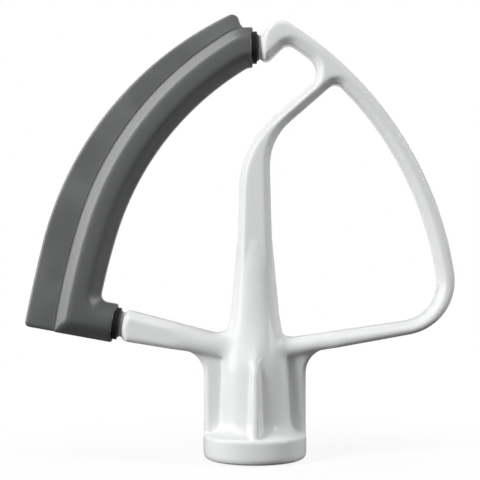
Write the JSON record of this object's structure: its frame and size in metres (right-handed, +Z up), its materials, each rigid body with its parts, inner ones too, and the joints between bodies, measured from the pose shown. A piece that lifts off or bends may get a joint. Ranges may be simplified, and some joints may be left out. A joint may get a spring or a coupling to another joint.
{
  "type": "stand mixer flat beater",
  "caption": "Flat paddle beater for a stand mixer: coated casting with hub socket, spine, strut and loop, and a flexible wiping edge on one side.",
  "frame": {"origin": "centre of the hub's mouth, on the axis of the shaft socket", "axes": "+Z up the shaft axis from the mouth to the paddle, +X to the cast loop, -X to the wiping edge, -Y the front"},
  "size_m": [0.144, 0.0346, 0.1492],
  "materials": {
    "coated_casting": "gloss",
    "black_nylon": "satin",
    "grey_silicone": "satin"
  },
  "bodies": {
    "root": {"beater_frame": "coated_casting", "edge_carrier": "black_nylon", "flex_edge": "grey_silicone"}
  },
  "joints": []
}
